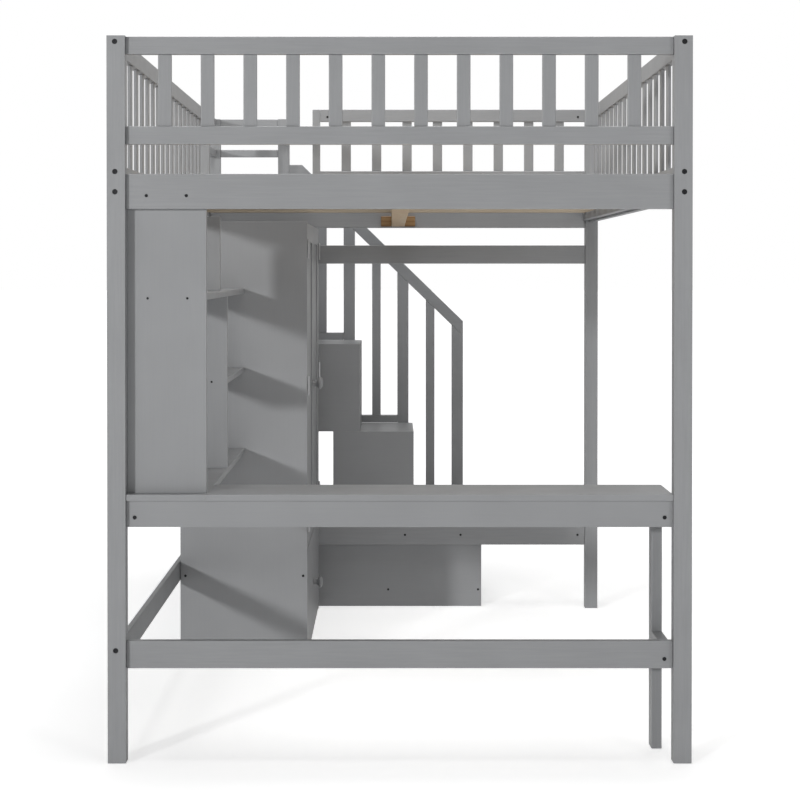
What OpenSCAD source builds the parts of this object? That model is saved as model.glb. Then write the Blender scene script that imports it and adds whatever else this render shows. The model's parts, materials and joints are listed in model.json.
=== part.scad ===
// Loft bed with a desk, bookcase and wardrobe under it and a box staircase at its far end.
// Millimetres, +Z up, +Y along the bed from the desk end to the stair end, +X to the open side.
// The origin is on the floor, at the centre of the whole footprint.

/* [Overall] */
// Width over the posts
bed_w = 1448; // [1400:1:1500]
// Length of the bed frame over the posts
bed_l = 1988; // [1960:1:2040]
// Height of the posts
bed_h = 1803; // [1795:1:1850]
// Depth of the staircase beyond the bed frame
stair_d = 402; // [380:1:440]

/* [Timber sections] */
// Width of a post
post_w = 45; // [42:1:50]
// Depth of a post
post_d = 38; // [36:1:45]
// Thickness of a rail
rail_t = 20; // [18:1:22]
// How far the end rails sit behind the post faces
rail_back = 14; // [12:1:16]
// Thickness of a board or panel
board_t = 16; // [15:1:18]
// Width of a guard slat
slat_w = 34; // [28:1:38]
// Thickness of a guard slat
slat_t = 9; // [8:1:12]
// Height of a guard top rail
guard_rail_h = 44; // [40:1:48]
// Height of a bed rail
bed_rail_h = 87; // [80:1:92]

/* [Heights] */
// Underside of the end bed rails
end_rail_z = 1375; // [1374:1:1380]
// Underside of the side bed rails
side_rail_z = 1397; // [1390:1:1402]
// Underside of the pine bed slats
bed_slat_z = 1428; // [1425:1:1430]
// Underside of the middle guard rail
mid_rail_z = 1535; // [1520:1:1550]
// Top of the desk
desk_z = 667; // [650:1:680]
// Underside of the low rails
low_rail_z = 233; // [220:1:240]

/* [Slats] */
// Guard slats in the desk end
near_slat_count = 12; // [8:1:14]
// Guard slats in the stair end
far_slat_count = 8; // [5:1:9]
// Guard slats in each long side
side_slat_count = 17; // [12:1:20]
// Pine slats under the mattress
bed_slat_count = 13; // [9:1:16]

/* [Desk and bookcase] */
// Depth of the desk top
desk_d = 204; // [180:1:230]
// Depth of the desk apron, top to bottom
apron_h = 66; // [60:1:70]
// Front edge of the bookcase, from the centre line
case_x = 480; // [460:1:500]
// Top shelf, underside
top_shelf_z = 1149; // [1100:1:1180]
// Middle shelf, underside
mid_shelf_z = 904; // [860:1:930]

/* [Wardrobe] */
// Distance from the desk end to the wardrobe
wardrobe_y = 1114; // [1080:1:1150]
// Front face of the wardrobe, from the centre line
wardrobe_x = 284; // [270:1:300]
// Height of the wardrobe
wardrobe_h = 1374; // [1340:1:1374]
// Top of the drawer front
drawer_top = 346; // [320:1:370]
// Height of the door knobs
knob_z = 842; // [760:1:920]

/* [Staircase] */
// Rise of one step
step_rise = 318; // [305:1:320]
// Right-hand ends of the four steps, first step first
step_x = [306, 60, -135, -335];

/* [Hidden] */
gray = [0.57, 0.573, 0.58];
pine = [0.79, 0.72, 0.62];
bronze = [0.55, 0.38, 0.22];
steel = [0.2, 0.2, 0.21];
chrome = [0.75, 0.75, 0.77];
$fn = 48;
play = 0.05;

// Planes of the frame
x_out = bed_w / 2;
x_in = x_out - post_w;
y_near = -(bed_l + stair_d) / 2;
y_near_in = y_near + post_d;
y_far = y_near + bed_l;
y_far_in = y_far - post_d;
y_end = y_far + stair_d;
y_guard = y_end - post_d;
rail_y = y_near + rail_back;
rail_in_y = rail_y + rail_t;
far_rail_y = y_far - rail_back - rail_t;
side_x = x_out - 30;  // inner faces of the side rails
top_z = bed_h - 1;     // top of the guard rails
guard_z = top_z - guard_rail_h;
mid_rail_h = 45;

// Bed platform
bed_slat_w = 60;
bed_slat_t = 18;
ledger = 25;
beam_x = 3;
beam_w = 47;
beam_h = 48;
block_w = 38;
block_h = 36;

// Cross rails of the stair end, under the bed
high_cross_z = [1246, 1312];
low_cross_z = [low_rail_z - 4, low_rail_z + 69];

// Low frame and desk
low_rail_h = 69;
desk_y = y_near + 4;
leg_x = 643.5;
leg_w = 27;
leg_y = y_near + 131;
leg_d = 46;
stretcher_x = x_in + 3.5;
stretcher_z = 250;
stretcher_h = 62;
stretcher_t = 15;

// Bookcase
case_top_z = 1440;
case_end_x = -case_x - 1.5;
case_div_y = y_near + 577;
upper_div_x = -502;
case_upright_w = 80;
ward_y = y_near + wardrobe_y;

// Wardrobe carcass, doors and drawer
ward_back_x = -681;
ward_back_t = 8;
ward_in0 = ward_y + board_t;
ward_in1 = y_far_in - board_t;
ward_mid = (ward_in0 + ward_in1) / 2;
front_t = 16;
front_x = -wardrobe_x - front_t;
inner_x = front_x - 2;
door_z = drawer_top + 6;
door_top = wardrobe_h - 4;
meeting_gap = 3;
stile = 72;
panel_back = 5;
panel_t = 7;
rod_r = 12.5;
rod_z = 1290;
rod_x = -480;

// Butt hinges: the leaves lie in the gap between the door and the side, the knuckles stand in front of it
hinge_r = 3;
hinge_gap = 3;
pin_r = 1.5;
pin_play = 0.05;
hinge_h = 60;
leaf_t = 1.2;
hinge_x = -wardrobe_x + hinge_r + 0.2;
hinge_z = [door_z + 80, (door_z + door_top) / 2, door_top - 80];
near_hinge_y = ward_in0 + hinge_gap / 2;
far_hinge_y = ward_in1 - hinge_gap / 2;

// Drawer
drawer_gap = 3;
drawer_foot = 8;
drawer_knob_z = 172;
drawer_floor = 40;
drawer_wall = 12;
drawer_y0 = ward_in0 + 15;
drawer_y1 = ward_in1 - 15;
drawer_back_x = -660;
drawer_h = 250;
drawer_bottom_z = 46;
drawer_bottom_t = 6;
runner_w = 30;
runner_z = 24;

// Staircase
stair_x0 = -x_out + 15;
stair_y0 = y_far;
stair_y1 = y_guard;
stair_in_y = stair_y0 + board_t;
box2_x0 = -233;
box1_floor = 53;
newel_w = 43;
newel_x = [211, 1.5, -205, -457];
newel_z = [0, step_rise, 2 * step_rise, 3 * step_rise];
baluster_w = 33;
baluster_x = [111.5, -95.5, -304];
kerb_h = 28;
rail_flat_x = -364.6;
rail_flat_z = 1627;
rail_slope = 0.9706;
handrail_t = 41;
handrail_drop = handrail_t * sqrt(1 + rail_slope * rail_slope);
low_bar_z = 1657;
low_bar_h = 28;

// Bolts of the frame: distance from the centre line and height
bolt_x = x_out - 20.2;
rail_bolts = [bed_h - 15, side_rail_z + 70, side_rail_z + 20];
stretcher_bolt_z = 280;
bolt_r = 3;
bolt_hole_r = 3.3;
bolt_head_r = 6.5;
bolt_sink = 2.5;
bolt_l = 74;
screw_r = 4;
screw_h = 1.2;

// ---- Shared shapes ----

// A board given by its lowest and highest corners, less a hair of play where it meets its neighbours
module board(x0, x1, y0, y1, z0, z1) {
    translate([x0 + play, y0 + play, z0]) cube([x1 - x0 - 2 * play, y1 - y0 - 2 * play, z1 - z0 - 2 * play]);
}

// A round bar along Y
module bar_y(x, y0, y1, z, r) {
    translate([x, y0, z]) rotate([-90, 0, 0]) cylinder(r = r, h = y1 - y0);
}

// A board in the XZ plane with its own outline, between two Y planes
module outline_xz(points, y0, y1) {
    translate([0, y1, 0]) rotate([90, 0, 0]) linear_extrude(y1 - y0) polygon(points);
}

// Heights of the bolts in one post: side is -1 on the left, 1 on the right
function post_bolts(side) = side < 0 ? concat(rail_bolts, [stretcher_bolt_z]) : rail_bolts;

// A post with its bolt holes, sunk from the outer face
module post(side, near) {
    x0 = side < 0 ? -x_out : x_in;
    y0 = near ? y_near : y_far_in;
    face = near ? y_near : y_far - bolt_sink;
    difference() {
        board(x0, x0 + post_w, y0, y0 + post_d, 0, bed_h);
        for (z = post_bolts(side)) {
            bar_y(side * bolt_x, y0 - 1, y0 + post_d + 1, z, bolt_hole_r);
            bar_y(side * bolt_x, face - (near ? 1 : 0), face + bolt_sink + (near ? 0 : 1), z, bolt_head_r + 0.3);
        }
    }
}

// A rail of the desk end
module near_rail(z0, z1) {
    board(-x_in, x_in, rail_y, rail_in_y, z0, z1);
}

// A rail along one long side, with a bolt hole in each end
module side_rail(side, z0, z1, bolts) {
    x0 = side < 0 ? -side_x - rail_t : side_x;
    hole_l = 40;
    difference() {
        board(x0, x0 + rail_t, y_near_in, y_far_in, z0, z1);
        for (z = bolts) {
            bar_y(side * bolt_x, y_near_in - 1, y_near_in + hole_l, z, bolt_hole_r);
            bar_y(side * bolt_x, y_far_in - hole_l, y_far_in + 1, z, bolt_hole_r);
        }
    }
}

// Guard slats along one long side
module side_slats(side) {
    pitch = (y_far_in - y_near_in) / (side_slat_count + 1);
    x0 = side * (side_x + rail_t / 2) - slat_t / 2;
    for (i = [1 : side_slat_count]) {
        y = y_near_in + i * pitch;
        board(x0, x0 + slat_t, y - slat_w / 2, y + slat_w / 2, side_rail_z + bed_rail_h, guard_z);
    }
}

// A turned knob on the X axis: a neck, a rounded head and a flat back
module knob(y, z) {
    head_r = 19;
    translate([-wardrobe_x, y, z]) rotate([0, 90, 0]) rotate_extrude() polygon(concat(
        [[0, 0], [10, 0], [9, 4], [8.5, 10], [10, 14]],
        [for (a = [-50 : 20 : 90]) [head_r * cos(a), 23 + 9 * sin(a)]],
        [[0, 32]]
    ));
}

// ---- Posts ----
module near_left_post() {
    color(gray) post(-1, true);
}

module near_right_post() {
    color(gray) post(1, true);
}

module far_left_post() {
    color(gray) post(-1, false);
}

module far_right_post() {
    color(gray) post(1, false);
}

// ---- Desk end guard ----
module near_top_rail() {
    color(gray) near_rail(guard_z, top_z);
}

module near_mid_rail() {
    color(gray) near_rail(mid_rail_z, mid_rail_z + mid_rail_h);
}

module near_end_rail() {
    color(gray) near_rail(end_rail_z, end_rail_z + bed_rail_h);
}

module near_guard_slats() {
    pitch = x_in * 2 / (near_slat_count + 0.82);
    y0 = rail_y + (rail_t - slat_t) / 2;
    color(gray) for (i = [0 : near_slat_count - 1]) {
        x = (i - (near_slat_count - 1) / 2) * pitch;
        board(x - slat_w / 2, x + slat_w / 2, y0, y0 + slat_t, mid_rail_z + mid_rail_h, guard_z);
    }
}

// ---- Stair end guard ----
entry_x = -306;
entry_w = 27.5;

module far_top_rail() {
    color(gray) board(entry_x + entry_w, x_in, far_rail_y, far_rail_y + rail_t, guard_z, top_z);
}

module far_mid_rail() {
    color(gray) board(entry_x + entry_w, x_in, far_rail_y, far_rail_y + rail_t,
        mid_rail_z, mid_rail_z + mid_rail_h);
}

module far_end_rail() {
    color(gray) board(-x_in, x_in, far_rail_y, far_rail_y + rail_t, end_rail_z, end_rail_z + bed_rail_h);
}

module far_guard_slats() {
    span = x_in - entry_x - entry_w;
    edge = 94;
    pitch = (span - 2 * edge) / (far_slat_count - 1);
    y0 = far_rail_y + (rail_t - slat_t) / 2;
    color(gray) for (i = [0 : far_slat_count - 1]) {
        x = entry_x + entry_w + edge + i * pitch;
        board(x - slat_w / 2, x + slat_w / 2, y0, y0 + slat_t, mid_rail_z + mid_rail_h, guard_z);
    }
}

module far_entry_post() {
    color(gray) board(entry_x, entry_x + entry_w, far_rail_y, far_rail_y + rail_t,
        end_rail_z + bed_rail_h, top_z);
}

module far_cross_rails() {
    color(gray) {
        for (z = [high_cross_z, low_cross_z]) {
            board(-x_in, x_in, far_rail_y, far_rail_y + rail_t, z[0], z[1]);
        }
    }
}

// ---- Long sides ----
module left_top_rail() {
    color(gray) side_rail(-1, guard_z, top_z, [rail_bolts[0]]);
}

module right_top_rail() {
    color(gray) side_rail(1, guard_z, top_z, [rail_bolts[0]]);
}

module left_side_rail() {
    color(gray) side_rail(-1, side_rail_z, side_rail_z + bed_rail_h, [rail_bolts[1], rail_bolts[2]]);
}

module right_side_rail() {
    color(gray) side_rail(1, side_rail_z, side_rail_z + bed_rail_h, [rail_bolts[1], rail_bolts[2]]);
}

module left_guard_slats() {
    color(gray) side_slats(-1);
}

module right_guard_slats() {
    color(gray) side_slats(1);
}

// ---- Mattress platform ----
module slat_ledgers() {
    color(gray) for (x = [-side_x, side_x - ledger]) {
        board(x, x + ledger, rail_in_y + board_t, y_far_in, bed_slat_z - ledger, bed_slat_z);
    }
}

module bed_slats() {
    pitch = (y_far_in - y_near_in) / bed_slat_count;
    color(pine) for (i = [0 : bed_slat_count - 1]) {
        y = y_near_in + (i + 0.5) * pitch;
        board(-side_x, side_x, y - bed_slat_w / 2, y + bed_slat_w / 2, bed_slat_z, bed_slat_z + bed_slat_t);
    }
}

module center_beam() {
    color(pine) board(beam_x - beam_w / 2, beam_x + beam_w / 2, rail_in_y, far_rail_y,
        bed_slat_z - beam_h, bed_slat_z);
}

module beam_blocks() {
    block_d = 22;
    z0 = bed_slat_z - beam_h;
    color(bronze) for (y = [rail_in_y, far_rail_y - block_d]) {
        for (x = [beam_x - beam_w / 2 - block_w, beam_x + beam_w / 2]) {
            board(x, x + block_w, y, y + block_d, z0, z0 + block_h);
        }
    }
}

// ---- Low frame and desk ----
module near_lower_rail() {
    color(gray) near_rail(low_rail_z, low_rail_z + low_rail_h);
}

module left_stretcher() {
    color(gray) board(-stretcher_x - stretcher_t, -stretcher_x, y_near_in, y_far_in,
        stretcher_z, stretcher_z + stretcher_h);
}

module desk_side_rails() {
    z0 = desk_z - board_t - apron_h;
    color(gray) {
        board(leg_x, leg_x + leg_w, rail_in_y, leg_y, z0, z0 + apron_h);
        board(leg_x, leg_x + leg_w, rail_in_y, leg_y, low_rail_z, low_rail_z + low_rail_h);
        board(-leg_x - leg_w, -leg_x, rail_in_y, ward_y, z0, z0 + apron_h);
    }
}

module desk_leg() {
    color(gray) board(leg_x, leg_x + leg_w, leg_y, leg_y + leg_d, 0, desk_z - board_t);
}

module desk_top() {
    color(gray) board(-case_x, x_in, desk_y, y_near + desk_d, desk_z - board_t, desk_z);
}

module desk_apron() {
    color(gray) near_rail(desk_z - board_t - apron_h, desk_z - board_t);
}

// ---- Bookcase ----
module bookcase_end_panel() {
    color(gray) board(-x_in, case_end_x, rail_in_y, rail_in_y + board_t, desk_z, case_top_z);
}

// A narrow upright between the desk and the top shelf, and a full divider above it
module bookcase_dividers() {
    color(gray) {
        board(case_end_x - case_upright_w, case_end_x, case_div_y, case_div_y + board_t, desk_z, top_shelf_z);
        board(-x_in, upper_div_x, case_div_y, case_div_y + board_t, top_shelf_z + board_t, wardrobe_h);
    }
}

module bookcase_base() {
    color(gray) board(-x_in, -case_x, desk_y, ward_y, desk_z - board_t, desk_z);
}

module bookcase_shelves() {
    color(gray) {
        board(-x_in, case_end_x, rail_in_y + board_t, ward_y, top_shelf_z, top_shelf_z + board_t);
        board(-x_in, case_end_x, case_div_y + board_t, ward_y, mid_shelf_z, mid_shelf_z + board_t);
    }
}

// ---- Wardrobe ----
module wardrobe_near_side() {
    color(gray) board(ward_back_x, -wardrobe_x, ward_y, ward_in0, 0, wardrobe_h);
}

module wardrobe_far_side() {
    color(gray) board(ward_back_x, -wardrobe_x, ward_in1, y_far_in, 0, wardrobe_h);
}

module wardrobe_shelves() {
    back = ward_back_x + ward_back_t;
    color(gray) for (z = [drawer_foot, drawer_top - board_t, wardrobe_h - board_t]) {
        board(back, inner_x, ward_in0, ward_in1, z, z + board_t);
    }
}

module wardrobe_back() {
    color(gray) board(ward_back_x, ward_back_x + ward_back_t, ward_in0, ward_in1, 0, wardrobe_h);
}

// A steel rod between two cups
module hanging_rail() {
    cup_r = 20;
    cup_t = 8;
    floor_t = 2;
    rod_play = 0.1;
    color(chrome) {
        bar_y(rod_x, ward_in0 + floor_t + rod_play, ward_in1 - floor_t - rod_play, rod_z, rod_r);
        for (y = [ward_in0, ward_in1 - cup_t]) {
            difference() {
                bar_y(rod_x, y, y + cup_t, rod_z, cup_r);
                bar_y(rod_x, max(y - 1, ward_in0 + floor_t), min(y + cup_t + 1, ward_in1 - floor_t),
                    rod_z, rod_r + rod_play);
            }
        }
    }
}

// A framed door: two stiles, two rails and a thinner panel set back between them
module door(y0, y1) {
    x1 = -wardrobe_x;
    rail_top = 58;
    color(gray) {
        for (y = [y0, y1 - stile]) {
            board(front_x, x1, y, y + stile, door_z, door_top);
        }
        for (z = [[door_z, door_z + stile], [door_top - rail_top, door_top]]) {
            board(front_x, x1, y0 + stile, y1 - stile, z[0], z[1]);
        }
        board(x1 - panel_back - panel_t, x1 - panel_back, y0 + stile, y1 - stile,
            door_z + stile, door_top - rail_top);
    }
}

module near_door() {
    door(ward_in0 + hinge_gap, ward_mid - meeting_gap / 2);
}

module far_door() {
    door(ward_mid + meeting_gap / 2, ward_in1 - hinge_gap);
}

module near_door_knob() {
    color(gray) knob(ward_mid - stile / 2, knob_z);
}

module far_door_knob() {
    color(gray) knob(ward_mid + stile / 2, knob_z);
}

// One leaf of a butt hinge. side is 1 for a leaf towards +Y of the pin, -1 towards -Y;
// spans lists the lowest and highest point of each knuckle, from the hinge's foot.
module hinge_leaf(y, z, side, spans, bore) {
    leaf_l = 17;
    wall = side * hinge_gap / 2;
    lo = min(wall, wall - side * leaf_t);
    translate([hinge_x, y, z - hinge_h / 2]) difference() {
        union() {
            translate([-leaf_l, lo, 0]) cube([leaf_l - hinge_r - 0.5, leaf_t, hinge_h]);
            for (s = spans) {
                translate([0, 0, s[0]]) cylinder(r = hinge_r, h = s[1] - s[0]);
                translate([-leaf_l, lo, s[0]]) cube([leaf_l, leaf_t, s[1] - s[0]]);
            }
        }
        translate([0, 0, -1]) cylinder(r = bore, h = hinge_h + 2);
    }
}

fixed_knuckles = [[0, 19.8], [40.2, 60]];
door_knuckles = [[20.1, 39.9]];

module hinge_fixed_leaves() {
    color(steel) for (z = hinge_z) {
        hinge_leaf(near_hinge_y, z, -1, fixed_knuckles, pin_r);
        hinge_leaf(far_hinge_y, z, 1, fixed_knuckles, pin_r);
    }
}

module near_hinge_leaves() {
    color(steel) for (z = hinge_z) hinge_leaf(near_hinge_y, z, 1, door_knuckles, pin_r + pin_play);
}

module far_hinge_leaves() {
    color(steel) for (z = hinge_z) hinge_leaf(far_hinge_y, z, -1, door_knuckles, pin_r + pin_play);
}

module hinge_pins() {
    color(steel) for (y = [near_hinge_y, far_hinge_y], z = hinge_z) {
        translate([hinge_x, y, z - hinge_h / 2]) cylinder(r = pin_r, h = hinge_h);
    }
}

module drawer_front() {
    color(gray) board(front_x, -wardrobe_x, ward_in0 + drawer_gap, ward_in1 - drawer_gap,
        drawer_foot, drawer_top);
}

module drawer_box() {
    z1 = drawer_floor + drawer_h;
    in0 = drawer_y0 + drawer_wall;
    in1 = drawer_y1 - drawer_wall;
    color(pine) {
        for (y = [drawer_y0, drawer_y1 - drawer_wall]) {
            board(drawer_back_x, front_x, y, y + drawer_wall, drawer_floor, z1);
        }
        for (x = [drawer_back_x, front_x - drawer_wall]) {
            board(x, x + drawer_wall, in0, in1, drawer_floor, z1);
        }
        board(drawer_back_x + drawer_wall, front_x - drawer_wall, in0, in1,
            drawer_bottom_z, drawer_bottom_z + drawer_bottom_t);
    }
}

module drawer_knob() {
    color(gray) knob(ward_mid, drawer_knob_z);
}

module drawer_runners() {
    color(pine) for (y = [ward_in0, ward_in1 - runner_w]) {
        board(drawer_back_x, inner_x, y, y + runner_w, runner_z, drawer_floor - 0.4);
    }
}

// ---- Staircase ----
// Each step is a box: closed towards the bed, open for storage on the outer side.
module stair_side_panels() {
    left = [stair_x0, box2_x0, stair_x0, stair_x0];
    color(gray) for (i = [0 : 3]) {
        board(left[i], step_x[i], stair_y0, stair_in_y, i * step_rise, (i + 1) * step_rise);
    }
}

module stair_treads() {
    left = [stair_x0, box2_x0, stair_x0, stair_x0];
    color(gray) for (i = [0 : 3]) {
        board(left[i], step_x[i], stair_in_y, stair_y1, (i + 1) * step_rise - board_t, (i + 1) * step_rise);
    }
}

// An upright across the staircase, with its left face at x
module upright(x, z0, z1) {
    board(x, x + board_t, stair_in_y, stair_y1, z0, z1);
}

module stair_inner_boards() {
    low_div_x = -41;
    under = 3 * step_rise - board_t;
    color(gray) {
        // first box: wall end, divider, front and its two floors
        upright(stair_x0, 0, step_rise - board_t);
        upright(low_div_x, 0, step_rise - board_t);
        upright(step_x[0] - board_t, 0, step_rise - board_t);
        board(stair_x0 + board_t, low_div_x, stair_in_y, stair_y1, box1_floor, box1_floor + board_t);
        board(low_div_x + board_t, step_x[0] - board_t, stair_in_y, stair_y1, box1_floor, box1_floor + board_t);
        // wall end between the first and the third box
        upright(stair_x0, step_rise, 2 * step_rise);
        // second box
        upright(box2_x0, step_rise, 2 * step_rise - board_t);
        upright(step_x[1] - board_t, step_rise, 2 * step_rise - board_t);
        // third box and its floor
        board(stair_x0, step_x[2], stair_in_y, stair_y1, 2 * step_rise, 2 * step_rise + board_t);
        upright(stair_x0, 2 * step_rise + board_t, under);
        upright(step_x[3] - board_t, 2 * step_rise + board_t, under);
        upright(step_x[2] - board_t, 2 * step_rise + board_t, under);
        // fourth box
        upright(stair_x0, 3 * step_rise, 4 * step_rise - board_t);
        upright(step_x[3] - board_t, 3 * step_rise, 4 * step_rise - board_t);
    }
}

// Underside of the sloping handrail
function handrail_under(x) = rail_flat_z - rail_slope * (x - rail_flat_x) - handrail_drop;

// An upright of the guard, cut to the handrail
module cut_upright(x, w, z0) {
    outline_xz([[x, z0], [x + w, z0], [x + w, handrail_under(x + w)], [x, handrail_under(x)]], y_guard, y_end);
}

module guard_newels() {
    color(gray) {
        board(-x_out, -x_in, y_guard, y_end, 0, bed_h);
        board(newel_x[3], newel_x[3] + newel_w, y_guard, y_end, newel_z[3], bed_h);
        for (i = [0 : 2]) {
            cut_upright(newel_x[i], newel_w, newel_z[i]);
        }
    }
}

module guard_balusters() {
    color(gray) for (i = [0 : 2]) {
        cut_upright(baluster_x[i], baluster_w, (i + 1) * step_rise + kerb_h);
    }
}

module guard_rails() {
    start_x = newel_x[3] + newel_w;
    end_x = newel_x[0] + newel_w;
    flat_under = rail_flat_z - handrail_t;
    knee_x = rail_flat_x - (handrail_drop - handrail_t) / rail_slope;
    end_z = rail_flat_z - rail_slope * (end_x - rail_flat_x);
    color(gray) {
        // handrail: a short level start, then the slope
        outline_xz([
            [start_x, rail_flat_z],
            [rail_flat_x, rail_flat_z],
            [end_x, end_z],
            [end_x, end_z - handrail_drop],
            [knee_x, flat_under],
            [start_x, flat_under]
        ], y_guard, y_end);
        // kerbs that carry the balusters
        for (i = [0 : 2]) {
            board(newel_x[i + 1] + newel_w, newel_x[i], y_guard, y_end,
                (i + 1) * step_rise, (i + 1) * step_rise + kerb_h);
        }
        // bars over the landing, along the end and along the wall side
        for (z = [[guard_z, top_z], [low_bar_z, low_bar_z + low_bar_h]]) {
            board(-x_in, newel_x[3], y_guard + 9, y_guard + 9 + rail_t, z[0], z[1]);
            board(-side_x - rail_t, -side_x, y_far, y_guard, z[0], z[1]);
        }
    }
}

// ---- Fasteners ----
// A bolt along Y with a hexagon socket: dir is 1 when it points to +Y
module bolt(x, y, z, dir) {
    head_t = 2;
    translate([x, y, z]) rotate([dir > 0 ? -90 : 90, 0, 0]) difference() {
        union() {
            cylinder(r = bolt_head_r, h = head_t);
            cylinder(r = bolt_r, h = bolt_l);
        }
        translate([0, 0, -1]) cylinder(r = 2.9, h = 2.5, $fn = 6);
    }
}

module frame_bolts() {
    head_in = 0.5;
    color(steel) for (side = [-1, 1]) {
        for (z = rail_bolts) {
            bolt(side * bolt_x, y_near + head_in, z, 1);
            bolt(side * bolt_x, y_far - head_in, z, -1);
        }
    }
}

// A low round screw head on a face that looks to -Y
module screw_head(x, y, z, r) {
    color(steel) difference() {
        bar_y(x, y - screw_h, y, z, r);
        bar_y(x, y - screw_h - 1, y - screw_h + 0.6, z, r * 0.4);
    }
}

module panel_screws() {
    // end rail, bookcase end panel
    for (x = [-628, -529]) {
        screw_head(x, rail_y, end_rail_z + 33, screw_r);
        screw_head(x, rail_in_y, top_shelf_z + 4, screw_r * 0.75);
    }
    // apron and low rail
    for (x = [-658, 658]) {
        screw_head(x, rail_y, desk_z - 58, screw_r + 1);
    }
    screw_head(658, rail_y, low_rail_z + 24, screw_r + 1);
    // wardrobe side
    for (x = [-665, -297]) {
        screw_head(x, ward_y, 267, screw_r);
    }
    // middle shelf through the divider
    screw_head(-526, case_div_y, mid_shelf_z + 5, screw_r * 0.75);
    // stair end rails
    for (x = [-252, 652]) {
        screw_head(x, far_rail_y, top_z - 27, screw_r);
    }
    for (x = [28, 229, 652]) {
        screw_head(x, far_rail_y, low_rail_z + 32, screw_r);
    }
    // first stair box
    for (x = [-33, 294]) {
        screw_head(x, stair_y0, box1_floor + board_t / 2, screw_r);
    }
    // stretcher bolt cover in the near left post
    screw_head(-bolt_x, y_near + bolt_sink, stretcher_bolt_z, bolt_head_r);
}

near_left_post();
near_right_post();
far_left_post();
far_right_post();
near_top_rail();
near_mid_rail();
near_end_rail();
near_guard_slats();
far_top_rail();
far_mid_rail();
far_end_rail();
far_guard_slats();
far_entry_post();
far_cross_rails();
left_top_rail();
right_top_rail();
left_side_rail();
right_side_rail();
left_guard_slats();
right_guard_slats();
slat_ledgers();
bed_slats();
center_beam();
beam_blocks();
near_lower_rail();
left_stretcher();
desk_side_rails();
desk_leg();
desk_top();
desk_apron();
bookcase_end_panel();
bookcase_dividers();
bookcase_base();
bookcase_shelves();
wardrobe_near_side();
wardrobe_far_side();
wardrobe_shelves();
wardrobe_back();
hanging_rail();
near_door();
far_door();
near_door_knob();
far_door_knob();
hinge_fixed_leaves();
near_hinge_leaves();
far_hinge_leaves();
hinge_pins();
drawer_front();
drawer_box();
drawer_knob();
drawer_runners();
stair_side_panels();
stair_treads();
stair_inner_boards();
guard_newels();
guard_rails();
guard_balusters();
frame_bolts();
panel_screws();
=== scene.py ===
"""Looks for the loft bed with desk: camera, light, painted and bare wood, steel and the small turned parts."""

import json
import math

import bmesh
import bpy
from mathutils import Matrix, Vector


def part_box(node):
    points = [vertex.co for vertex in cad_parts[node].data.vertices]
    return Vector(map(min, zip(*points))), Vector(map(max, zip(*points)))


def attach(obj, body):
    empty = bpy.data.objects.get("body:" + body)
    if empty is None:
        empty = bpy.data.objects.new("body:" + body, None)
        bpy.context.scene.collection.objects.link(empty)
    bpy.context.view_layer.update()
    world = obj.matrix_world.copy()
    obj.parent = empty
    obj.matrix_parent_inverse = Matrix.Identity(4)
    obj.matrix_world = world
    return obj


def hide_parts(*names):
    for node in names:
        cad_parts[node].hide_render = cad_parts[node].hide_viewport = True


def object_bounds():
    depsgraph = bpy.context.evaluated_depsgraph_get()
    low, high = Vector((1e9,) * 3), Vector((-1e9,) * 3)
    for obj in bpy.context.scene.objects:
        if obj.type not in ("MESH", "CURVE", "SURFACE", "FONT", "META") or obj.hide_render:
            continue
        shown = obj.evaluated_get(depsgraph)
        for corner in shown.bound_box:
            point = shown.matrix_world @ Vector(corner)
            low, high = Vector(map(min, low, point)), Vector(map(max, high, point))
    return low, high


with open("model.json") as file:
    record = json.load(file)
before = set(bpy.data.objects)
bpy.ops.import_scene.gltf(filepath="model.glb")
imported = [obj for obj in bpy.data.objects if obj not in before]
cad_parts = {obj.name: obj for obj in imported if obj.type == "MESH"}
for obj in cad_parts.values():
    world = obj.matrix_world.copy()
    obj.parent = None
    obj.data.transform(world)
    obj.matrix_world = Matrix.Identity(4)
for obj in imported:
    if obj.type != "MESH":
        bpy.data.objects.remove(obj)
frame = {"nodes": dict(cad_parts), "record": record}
cad_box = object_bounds()
scene = bpy.context.scene

# ---- The frame's own measures ----

LOW, HIGH = cad_box
FRONT_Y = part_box("near_left_post")[0].y          # outer face of the desk end
CENTRE_X = (LOW.x + HIGH.x) / 2

# ---- Camera ----

CAMERA_BACK = 4.235      # distance from the desk end to the lens
CAMERA_X = CENTRE_X - 0.019
CAMERA_Z = 1.225         # eye height, just under the bed platform
CAMERA_PITCH = 0.62      # degrees below the horizon
LENS_MM = 77.1
SHIFT_X = 0.010
SHIFT_Y = -0.140


def make_camera():
    data = bpy.data.cameras.new("camera")
    data.lens = LENS_MM
    data.sensor_width = 36.0
    data.shift_x = SHIFT_X
    data.shift_y = SHIFT_Y
    data.clip_start = 0.1
    data.clip_end = 100.0
    camera = bpy.data.objects.new("camera", data)
    camera.location = (CAMERA_X, FRONT_Y - CAMERA_BACK, CAMERA_Z)
    camera.rotation_euler = (math.radians(90.0 - CAMERA_PITCH), 0.0, 0.0)
    scene.collection.objects.link(camera)
    scene.camera = camera


# ---- Light and floor ----

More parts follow.
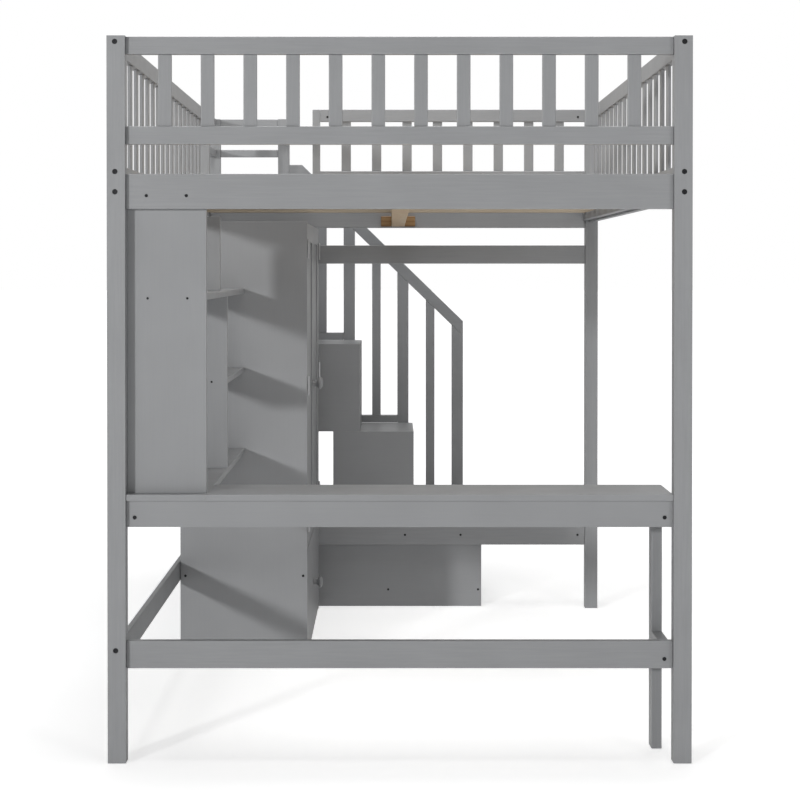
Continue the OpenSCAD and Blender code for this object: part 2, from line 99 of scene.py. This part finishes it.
AROUND = 0.045           # a white studio around the bed
ABOVE = 0.16
IN_GLOSS = 0.70          # the white walls, as the paint mirrors them at a grazing angle
FLOOR_BOUNCE = 0.42      # share of the floor's glow that lights the bed
FLOOR_GLOW = (0.56, 1.0)  # glow of the floor under the bed, and out where it turns white
FLOOR_REACH = (1.5, 5.5)  # how far from the origin those two are
SOFTBOX = 0.9            # across the two softboxes
CEILING = 3.0            # across the ceiling panel
LEFT_WATTS = 820.0
RIGHT_WATTS = 33.0
TOP_WATTS = 142.0
LEFT_AT = (-7.30, -12.70, 3.50)
RIGHT_AT = (3.22, -5.15, 1.94)
TOP_AT = (0.0, -0.3, 4.6)
BED_MIDDLE = (0.0, -0.6, 0.9)
UNDER_TOP = (0.0, 0.2, 0.0)


def area_light(name, location, target, size, watts):
    data = bpy.data.lights.new(name, "AREA")
    data.shape = "DISK"
    data.size = size
    data.energy = watts
    light = bpy.data.objects.new(name, data)
    light.location = location
    direction = Vector(target) - Vector(location)
    light.rotation_euler = direction.to_track_quat("-Z", "Y").to_euler()
    scene.collection.objects.link(light)


def make_world(around, above, in_gloss):
    """White all round, with a brighter ceiling: the light goes from around at the horizon to above at the zenith.
    Glossy rays see in_gloss, and the camera sees plain white."""
    world = bpy.data.worlds.new("studio")
    scene.world = world
    world.use_nodes = True
    nodes, links = world.node_tree.nodes, world.node_tree.links
    nodes.clear()
    place = nodes.new("ShaderNodeTexCoord")
    split = nodes.new("ShaderNodeSeparateXYZ")
    height = nodes.new("ShaderNodeMapRange")
    height.inputs["To Min"].default_value = around
    height.inputs["To Max"].default_value = above
    lit = nodes.new("ShaderNodeBackground")
    mirrored = nodes.new("ShaderNodeBackground")
    seen = nodes.new("ShaderNodeBackground")
    path = nodes.new("ShaderNodeLightPath")
    gloss = nodes.new("ShaderNodeMixShader")
    mix = nodes.new("ShaderNodeMixShader")
    out = nodes.new("ShaderNodeOutputWorld")
    for shader in (lit, mirrored, seen):
        shader.inputs["Color"].default_value = (1.0, 1.0, 1.0, 1.0)
    mirrored.inputs["Strength"].default_value = in_gloss
    links.new(place.outputs["Generated"], split.inputs["Vector"])
    links.new(split.outputs["Z"], height.inputs["Value"])
    links.new(height.outputs["Result"], lit.inputs["Strength"])
    links.new(path.outputs["Is Glossy Ray"], gloss.inputs["Fac"])
    links.new(lit.outputs["Background"], gloss.inputs[1])
    links.new(mirrored.outputs["Background"], gloss.inputs[2])
    links.new(path.outputs["Is Camera Ray"], mix.inputs["Fac"])
    links.new(gloss.outputs["Shader"], mix.inputs[1])
    links.new(seen.outputs["Background"], mix.inputs[2])
    links.new(mix.outputs["Shader"], out.inputs["Surface"])


def make_floor(material):
    side = 400.0
    mesh = bpy.data.meshes.new("floor")
    half = side / 2
    mesh.from_pydata([(-half, -half, 0), (half, -half, 0), (half, half, 0), (-half, half, 0)], [], [(0, 1, 2, 3)])
    floor = bpy.data.objects.new("floor", mesh)
    floor.location = (0.0, 0.0, LOW.z - 0.0005)
    mesh.materials.append(material)
    scene.collection.objects.link(floor)


# ---- Materials ----

class Shader:
    """A material's node tree with short names for the nodes that this script uses."""

    def __init__(self, name):
        self.material = bpy.data.materials.new(name)
        self.material.use_nodes = True
        self.nodes = self.material.node_tree.nodes
        self.links = self.material.node_tree.links
        self.bsdf = self.nodes["Principled BSDF"]

    def set(self, **values):
        for key, value in values.items():
            self.bsdf.inputs[key.replace("_", " ")].default_value = value

    def node(self, kind, **inputs):
        made = self.nodes.new(kind)
        for key, value in inputs.items():
            made.inputs[key.replace("_", " ")].default_value = value
        return made

    def link(self, a, b):
        self.links.new(a, b)

    def coords(self, stretch):
        """Object coordinates, in metres, squeezed by stretch along each axis."""
        source = self.node("ShaderNodeTexCoord")
        mapping = self.node("ShaderNodeMapping", Scale=stretch)
        self.link(source.outputs["Object"], mapping.inputs["Vector"])
        return mapping.outputs["Vector"]

    def noise(self, vector, scale, detail=3.0, roughness=0.5, distortion=0.0):
        made = self.node("ShaderNodeTexNoise", Scale=scale, Detail=detail, Roughness=roughness,
                         Distortion=distortion)
        self.link(vector, made.inputs["Vector"])
        return made.outputs["Fac"]

    def ramp(self, factor, stops):
        made = self.nodes.new("ShaderNodeValToRGB")
        elements = made.color_ramp.elements
        while len(elements) < len(stops):
            elements.new(0.5)
        for element, (place, color) in zip(elements, stops):
            element.position = place
            element.color = (*color, 1.0)
        self.link(factor, made.inputs["Fac"])
        return made.outputs["Color"]

    def mix(self, factor, a, b, blend="MIX"):
        made = self.nodes.new("ShaderNodeMix")
        made.data_type = "RGBA"
        made.blend_type = blend
        for key, value in ((0, factor), (6, a), (7, b)):
            if isinstance(value, (int, float)):
                made.inputs[key].default_value = value
            elif isinstance(value, tuple):
                made.inputs[key].default_value = (*value, 1.0)
            else:
                self.link(value, made.inputs[key])
        return made.outputs[2]

    def span(self, factor, low, high):
        """factor from 0..1 to low..high."""
        made = self.node("ShaderNodeMapRange")
        made.inputs["To Min"].default_value = low
        made.inputs["To Max"].default_value = high
        self.link(factor, made.inputs["Value"])
        return made.outputs["Result"]

    def bump(self, height, strength, distance, after=None):
        made = self.node("ShaderNodeBump", Strength=strength, Distance=distance)
        self.link(height, made.inputs["Height"])
        if after is not None:
            self.link(after, made.inputs["Normal"])
        return made.outputs["Normal"]


def along(axis, length, across):
    """Scale that stretches a pattern along one axis, so that it lies like grain."""
    scale = [across, across, across]
    scale["xyz".index(axis)] = length
    return tuple(scale)


def shade(color, factor):
    return tuple(c * factor for c in color)


RECORD_COLORS = {m["slot"]: tuple(m["base_color"]) for m in frame["record"]["materials"]}
PAINT = RECORD_COLORS["painted_timber"]
PINE_LIGHT = (0.570, 0.480, 0.365)
PINE_DARK = (0.400, 0.295, 0.185)
BLOCK_LIGHT = (0.350, 0.215, 0.095)
BLOCK_DARK = (0.200, 0.110, 0.045)
TIMBER_GRAIN = 0.06      # how much the grain darkens the paint
PANEL_GRAIN = 0.02
ARRIS_HIGHLIGHT = 0.10         # painted highlight: how much lighter the paint is made on an arris, for the light that the rounded edge catches


def paint(name, axis, grain, highlight_lift=0.0):
    """Satin paint: rolled surface, a little of the grain showing through, patchy gloss.
    The last argument lightens it for the arrises: a painted highlight, for the light that a rounded edge catches."""
    s = Shader(name)
    body = shade(PAINT, 1.0 + highlight_lift)
    plain = s.coords((1.0, 1.0, 1.0))
    fibres = s.coords(along(axis, 1.0, 26.0))
    cloud = s.noise(plain, 5.0, detail=2.0)
    tone = s.ramp(cloud, [(0.3, shade(body, 0.965)), (0.7, shade(body, 1.035))])
    streak = s.noise(fibres, 9.0, detail=5.0, roughness=0.6)
    lines = s.ramp(streak, [(0.35, shade((1, 1, 1), 1.0 - grain)), (0.65, (1.0, 1.0, 1.0))])
    s.link(s.mix(1.0, tone, lines, "MULTIPLY"), s.bsdf.inputs["Base Color"])
    s.link(s.span(s.noise(plain, 14.0, detail=3.0), 0.36, 0.50), s.bsdf.inputs["Roughness"])
    rolled = s.noise(plain, 420.0, detail=2.0)
    fine = s.bump(rolled, 0.10, 0.0006)
    s.link(s.bump(streak, 0.35 * grain / TIMBER_GRAIN, 0.0004, fine), s.bsdf.inputs["Normal"])
    s.set(IOR=1.48)
    return s.material


def bare_wood(name, axis, light, dark, rough=0.62):
    """Planed softwood: growth rings drawn out along the board, darker late wood and a few knots."""
    s = Shader(name)
    wide = s.coords(along(axis, 1.2, 14.0))
    rings = s.node("ShaderNodeTexWave", Scale=1.6, Distortion=5.0, Detail=3.0)
    rings.inputs["Detail Scale"].default_value = 0.7
    rings.wave_type = "RINGS"
    rings.rings_direction = axis.upper()
    s.link(wide, rings.inputs["Vector"])
    fibres = s.noise(s.coords(along(axis, 3.0, 90.0)), 5.0, detail=6.0, roughness=0.65)
    late = s.ramp(rings.outputs["Fac"], [(0.35, light), (0.92, shade(dark, 1.25))])
    body = s.mix(s.span(fibres, 0.0, 0.34), late, dark)
    knots = s.node("ShaderNodeTexVoronoi", Scale=2.4)
    s.link(s.coords(along(axis, 1.0, 2.2)), knots.inputs["Vector"])
    spot = s.ramp(knots.outputs["Distance"], [(0.03, (1, 1, 1)), (0.075, (0, 0, 0))])
    s.link(s.mix(spot, body, shade(dark, 0.55)), s.bsdf.inputs["Base Color"])
    s.link(s.span(fibres, rough - 0.08, rough + 0.10), s.bsdf.inputs["Roughness"])
    s.link(s.bump(fibres, 0.30, 0.0006), s.bsdf.inputs["Normal"])
    return s.material


def metal(name, color, rough, scratch):
    s = Shader(name)
    plain = s.coords((1.0, 1.0, 1.0))
    fine = s.noise(plain, 900.0, detail=3.0)
    tone = s.ramp(s.noise(plain, 60.0), [(0.3, shade(color, 0.86)), (0.7, shade(color, 1.06))])
    s.link(tone, s.bsdf.inputs["Base Color"])
    s.link(s.span(fine, rough - 0.06, rough + 0.10), s.bsdf.inputs["Roughness"])
    s.link(s.bump(fine, scratch, 0.0002), s.bsdf.inputs["Normal"])
    s.set(Metallic=1.0)
    return s.material


def floor_material():
    s = Shader("floor")
    plain = s.coords((1.0, 1.0, 1.0))
    tone = s.ramp(s.noise(plain, 0.8), [(0.3, (0.80, 0.80, 0.80)), (0.7, (0.83, 0.83, 0.83))])
    s.link(tone, s.bsdf.inputs["Base Color"])
    s.set(Roughness=0.85)
    # a glow that grows with the distance turns the floor white away from the bed
    reach = s.nodes.new("ShaderNodeVectorMath")
    reach.operation = "LENGTH"
    s.link(plain, reach.inputs[0])
    glow = s.node("ShaderNodeMapRange")
    glow.inputs["From Min"].default_value, glow.inputs["From Max"].default_value = FLOOR_REACH
    glow.inputs["To Min"].default_value, glow.inputs["To Max"].default_value = FLOOR_GLOW
    s.link(reach.outputs["Value"], glow.inputs["Value"])
    # the camera sees that glow in full, and the bed gets a share of it
    path = s.nodes.new("ShaderNodeLightPath")
    share = s.nodes.new("ShaderNodeMath")
    share.operation = "MULTIPLY"
    s.link(glow.outputs["Result"], share.inputs[0])
    s.link(s.span(path.outputs["Is Camera Ray"], FLOOR_BOUNCE, 1.0), share.inputs[1])
    s.link(share.outputs["Value"], s.bsdf.inputs["Emission Strength"])
    s.bsdf.inputs["Emission Color"].default_value = (1.0, 1.0, 1.0, 1.0)
    s.material.cycles.emission_sampling = "NONE"
    return s.material


AXES = "xyz"
timber = {a: paint("painted_timber_" + a, a, TIMBER_GRAIN) for a in AXES}
panel = {a: paint("painted_panel_" + a, a, PANEL_GRAIN) for a in AXES}
# the arris paint is made lighter than the rest: a painted highlight on the rounded edges
arris = {a: paint("paint_arris_highlight_" + a, a, TIMBER_GRAIN, ARRIS_HIGHLIGHT) for a in AXES}
pine = {a: bare_wood("pine_" + a, a, PINE_LIGHT, PINE_DARK) for a in AXES}
block = {a: bare_wood("block_wood_" + a, a, BLOCK_LIGHT, BLOCK_DARK) for a in AXES}
drawer_wood = {a: bare_wood("drawer_wood_" + a, a, shade(PINE_LIGHT, 0.94), PINE_DARK) for a in AXES}
dark_steel = metal("dark_steel", (0.030, 0.030, 0.032), 0.36, 0.25)
hinge_steel = metal("hinge_steel", (0.52, 0.52, 0.53), 0.32, 0.15)
chromed = metal("chromed_tube", (0.80, 0.80, 0.82), 0.12, 0.05)

# The way the grain runs in each node's boards
GRAIN_X = """near_top_rail near_mid_rail near_end_rail far_top_rail far_mid_rail far_end_rail far_cross_rails
bed_slats beam_blocks near_lower_rail desk_top desk_apron stair_side_panels stair_treads guard_rails
near_door_knob far_door_knob drawer_knob""".split()
GRAIN_Y = """left_top_rail right_top_rail left_side_rail right_side_rail slat_ledgers center_beam left_stretcher
desk_side_rails bookcase_base bookcase_shelves wardrobe_shelves drawer_front drawer_box drawer_runners""".split()

SLOT_MATERIALS = {
    "painted_timber": timber,
    "painted_panel": panel,
    "pine": pine,
    "block_wood": block,
    "drawer_wood": drawer_wood,
}
METALS = {"dark_steel": dark_steel, "hinge_steel": hinge_steel, "chromed_tube": chromed}


def grain_axis(node):
    if node in GRAIN_X:
        return "x"
    return "y" if node in GRAIN_Y else "z"


# ---- The CAD nodes ----

ARRIS_TIMBER = 0.0022
ARRIS_PANEL = 0.0010
ARRIS_STEEL = 0.0007


def soften(obj, width):
    """Rounds the board edges, as a sander leaves them. The bevel faces take the second material, where there is
    one: on painted parts the lighter arris paint, a painted highlight.
    """
    weld = obj.modifiers.new("weld", "WELD")
    weld.merge_threshold = 1e-5
    flat = obj.modifiers.new("flat", "DECIMATE")
    flat.decimate_type = "DISSOLVE"
    flat.angle_limit = math.radians(1.0)
    bevel = obj.modifiers.new("arris", "BEVEL")
    bevel.width = width
    bevel.segments = 3
    bevel.limit_method = "ANGLE"
    bevel.angle_limit = math.radians(40.0)
    bevel.harden_normals = True
    if len(obj.data.materials) > 1:
        bevel.material = 1


def dress(node, slot):
    obj = frame["nodes"][node]
    obj.data.materials.clear()
    if slot in METALS:
        obj.data.materials.append(METALS[slot])
        if slot == "dark_steel":
            soften(obj, ARRIS_STEEL)
        return
    axis = grain_axis(node)
    obj.data.materials.append(SLOT_MATERIALS[slot][axis])
    painted = slot.startswith("painted")
    if painted:
        # the lighter arris paint for the bevel faces: a painted highlight
        obj.data.materials.append(arris[axis])
    soften(obj, ARRIS_PANEL if slot == "painted_panel" else ARRIS_TIMBER)


for part in frame["record"]["subparts"]:
    dress(part["node"], part["material_slot"])

# ---- Turned knobs, with the curve that the CAD's facets stand for ----

KNOB_SIDES = 64
HEAD_STEPS = 24
KNOB_STEM = [(0.0, 0.010), (0.002, 0.0098), (0.004, 0.0090), (0.007, 0.0084), (0.010, 0.0086), (0.0135, 0.0102)]
KNOB_HEAD_R = 0.019
KNOB_HEAD_X = 0.023      # middle of the head, from the face that the knob stands on
KNOB_HEAD_H = 0.009


def knob_profile():
    """Distance from the face, and radius there, from the foot to the crown."""
    head = []
    for step in range(HEAD_STEPS + 1):
        a = math.radians(-55.0 + 145.0 * step / HEAD_STEPS)
        head.append((KNOB_HEAD_X + KNOB_HEAD_H * math.sin(a), KNOB_HEAD_R * math.cos(a)))
    return KNOB_STEM + head


def turned_knob(node, body):
    low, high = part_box(node)
    y, z = (low.y + high.y) / 2, (low.z + high.z) / 2
    shape = bmesh.new()
    rings = []
    for x, r in knob_profile()[:-1]:
        ring = []
        for side in range(KNOB_SIDES):
            a = 2 * math.pi * side / KNOB_SIDES
            ring.append(shape.verts.new((low.x + x, y + r * math.cos(a), z + r * math.sin(a))))
        rings.append(ring)
    crown = shape.verts.new((high.x, y, z))
    foot = shape.verts.new((low.x, y, z))
    for inner, outer in zip(rings, rings[1:]):
        for side in range(KNOB_SIDES):
            after = (side + 1) % KNOB_SIDES
            shape.faces.new((inner[side], inner[after], outer[after], outer[side]))
    for side in range(KNOB_SIDES):
        after = (side + 1) % KNOB_SIDES
        shape.faces.new((rings[-1][side], rings[-1][after], crown))
        shape.faces.new((rings[0][after], rings[0][side], foot))
    bmesh.ops.recalc_face_normals(shape, faces=shape.faces)
    mesh = bpy.data.meshes.new(node + "_turned")
    shape.to_mesh(mesh)
    shape.free()
    mesh.materials.append(timber["x"])
    for polygon in mesh.polygons:
        polygon.use_smooth = True
    knob = bpy.data.objects.new(node + "_turned", mesh)
    scene.collection.objects.link(knob)
    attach(knob, body)
    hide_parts(node)


turned_knob("near_door_knob", "near_door")
turned_knob("far_door_knob", "far_door")
turned_knob("drawer_knob", "drawer")

# ---- Stage ----

make_camera()
make_world(AROUND, ABOVE, IN_GLOSS)
make_floor(floor_material())
area_light("left_softbox", LEFT_AT, BED_MIDDLE, SOFTBOX, LEFT_WATTS)
area_light("right_softbox", RIGHT_AT, BED_MIDDLE, SOFTBOX, RIGHT_WATTS)
area_light("ceiling_panel", TOP_AT, UNDER_TOP, CEILING, TOP_WATTS)
scene.view_settings.view_transform = "Standard"
